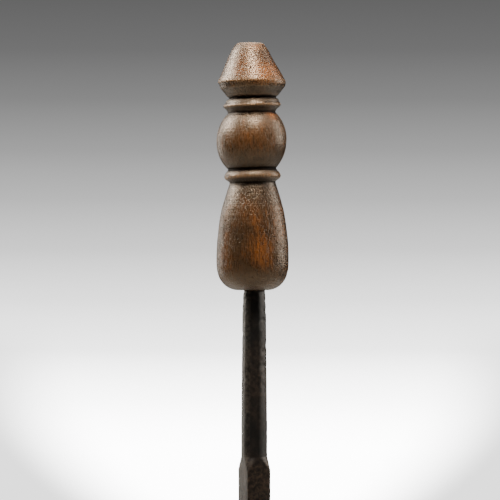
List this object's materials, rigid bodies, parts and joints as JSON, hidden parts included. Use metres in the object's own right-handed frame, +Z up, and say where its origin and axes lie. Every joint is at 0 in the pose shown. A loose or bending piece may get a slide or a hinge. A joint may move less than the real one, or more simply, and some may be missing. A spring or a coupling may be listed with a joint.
{
  "type": "fireplace tool set",
  "caption": "Fireside companion set: round moulded base, square forged post with turned wooden handle, and a poker, shovel, brush and tongs hung on forked arms.",
  "frame": {"origin": "on the floor, under the centre of the round base", "axes": "+Z up along the post; the poker hangs towards -Y, the shovel towards +X, the brush towards +Y and the tongs towards -X"},
  "size_m": [0.236, 0.236, 0.68],
  "materials": {
    "turned_wood": "aged dark turned hardwood, waxed",
    "forged_iron": "hammered wrought iron, blackened and waxed",
    "cast_iron": "sand-cast iron, stove-blacked",
    "sheet_iron": "rolled sheet iron, blackened",
    "rivet_iron": "forged rivets and washers, worn",
    "bristle": "stiff plant and horsehair bristle"
  },
  "bodies": {
    "stand": {"base_casting": "cast_iron", "base_foot_back_right": "cast_iron", "base_foot_back_left": "cast_iron", "base_foot_front_left": "cast_iron", "base_foot_front_right": "cast_iron", "post": "forged_iron", "post_handle": "turned_wood", "post_washer": "rivet_iron", "base_washer": "rivet_iron", "base_nut": "rivet_iron", "hook_arm_front": "forged_iron", "hook_arm_right": "forged_iron", "hook_arm_back": "forged_iron", "hook_arm_left": "forged_iron", "rack_rivets": "rivet_iron"},
    "poker": {"poker_handle": "turned_wood", "poker_washer": "rivet_iron", "poker_shank": "forged_iron"},
    "shovel": {"shovel_handle": "turned_wood", "shovel_washer": "rivet_iron", "shovel_shank": "forged_iron", "shovel_pan": "sheet_iron", "shovel_rivets": "rivet_iron"},
    "brush": {"brush_handle": "turned_wood", "brush_washer": "rivet_iron", "brush_shank": "forged_iron", "brush_stock": "turned_wood", "brush_pin": "rivet_iron", "brush_bristles": "bristle"},
    "tongs": {"tongs_handle": "turned_wood", "tongs_washer": "rivet_iron", "tongs_shank": "forged_iron", "tongs_pivot_rivet": "rivet_iron", "tongs_pivot_washers": "rivet_iron"},
    "tongs_arm": {"tongs_moving_arm": "forged_iron"}
  },
  "joints": [
    {"name": "poker_lift", "type": "slide", "parent": "stand", "child": "poker", "axis": [0, -0.7071, 0.7071], "range_m": [0, 0.25]},
    {"name": "shovel_lift", "type": "slide", "parent": "stand", "child": "shovel", "axis": [0.7071, 0, 0.7071], "range_m": [0, 0.25]},
    {"name": "brush_lift", "type": "slide", "parent": "stand", "child": "brush", "axis": [0, 0.7071, 0.7071], "range_m": [0, 0.25]},
    {"name": "tongs_lift", "type": "slide", "parent": "stand", "child": "tongs", "axis": [-0.7071, 0, 0.7071], "range_m": [0, 0.25]},
    {"name": "tongs_arm_swing", "type": "hinge", "parent": "tongs", "child": "tongs_arm", "pos_m": [-0.066, 0, 0.2293], "axis": [-1, 0, 0], "range_deg": [0, 30]}
  ]
}
